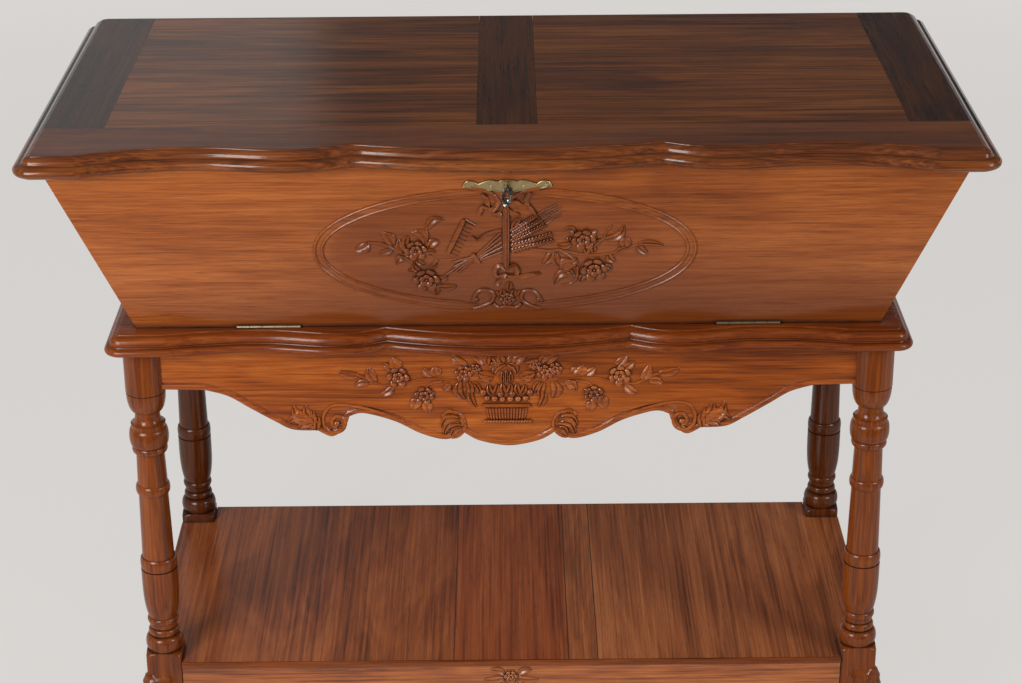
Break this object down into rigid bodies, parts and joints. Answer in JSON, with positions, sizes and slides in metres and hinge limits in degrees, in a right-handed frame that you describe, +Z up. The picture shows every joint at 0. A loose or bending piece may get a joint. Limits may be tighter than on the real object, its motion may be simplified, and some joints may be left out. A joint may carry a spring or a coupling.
{
  "type": "dough bin table",
  "caption": "Walnut dough bin table: a flared trough with a carved fall front, lock and key under a framed serpentine lid, on a turned stand with scalloped aprons and a shelf.",
  "frame": {"origin": "on the floor under the middle of the lid's outline", "axes": "+Z up, the fall front faces -Y, +X runs along the length to the viewer's right"},
  "size_m": [1.3, 0.66, 1.0003],
  "materials": {
    "walnut": "orange-brown walnut, waxed satin polish",
    "dark_walnut": "dark red-brown walnut, polished",
    "poplar": "bare secondary wood",
    "brass": "dull old brass",
    "iron": "dark iron",
    "steel": "worn bright steel"
  },
  "bodies": {
    "table": {"lid_front_rail": "dark_walnut", "lid_end_left": "dark_walnut", "lid_end_right": "dark_walnut", "lid_muntin": "dark_walnut", "lid_panel_left": "dark_walnut", "lid_panel_right": "dark_walnut", "lid_cleat_left": "poplar", "lid_cleat_right": "poplar", "strike_plate": "brass", "trough_back": "walnut", "trough_end_left": "walnut", "trough_end_right": "walnut", "trough_floor": "poplar", "tray_front": "walnut", "tray_left": "walnut", "tray_right": "walnut", "tray_back": "walnut", "leg_front_left": "walnut", "leg_front_right": "walnut", "leg_back_left": "walnut", "leg_back_right": "walnut", "apron_front": "walnut", "apron_back": "walnut", "apron_left": "walnut", "apron_right": "walnut", "lower_apron_front": "walnut", "lower_apron_back": "walnut", "lower_apron_left": "walnut", "lower_apron_right": "walnut", "shelf_board_left": "dark_walnut", "shelf_board_centre": "dark_walnut", "shelf_board_strip": "dark_walnut", "shelf_board_right": "dark_walnut", "hinge_left_lower_leaf": "brass", "hinge_left_lower_screw_1": "brass", "hinge_left_lower_screw_2": "brass", "hinge_left_pin": "iron", "hinge_right_lower_leaf": "brass", "hinge_right_lower_screw_1": "brass", "hinge_right_lower_screw_2": "brass", "hinge_right_pin": "iron"},
    "fall_front": {"fall_front": "walnut", "hinge_left_upper_leaf": "brass", "hinge_left_upper_screw_1": "brass", "hinge_left_upper_screw_2": "brass", "hinge_right_upper_leaf": "brass", "hinge_right_upper_screw_1": "brass", "hinge_right_upper_screw_2": "brass", "escutcheon": "brass", "escutcheon_nail_1": "brass", "escutcheon_nail_2": "brass", "escutcheon_nail_3": "brass", "escutcheon_nail_4": "brass", "lock_case": "iron"},
    "key": {"key": "steel"},
    "lock_bolt": {"lock_bolt": "brass"}
  },
  "joints": [
    {"name": "fall_front_hinge", "type": "hinge", "parent": "table", "child": "fall_front", "pos_m": [0, -0.2342, 0.7219], "axis": [1, 0, 0], "range_deg": [0, 70]},
    {"name": "key_turn", "type": "hinge", "parent": "fall_front", "child": "key", "pos_m": [0, -0.27246, 0.94052], "axis": [0, -0.9828, -0.1847], "range_deg": [0, 90]},
    {"name": "bolt_slide", "type": "slide", "parent": "fall_front", "child": "lock_bolt", "axis": [0, -0.1847, 0.9828], "range_m": [0, 0.01]}
  ],
  "couplings": [
    {"joint": "key_turn", "follows": "bolt_slide", "rad_per_m": 157.08}
  ]
}
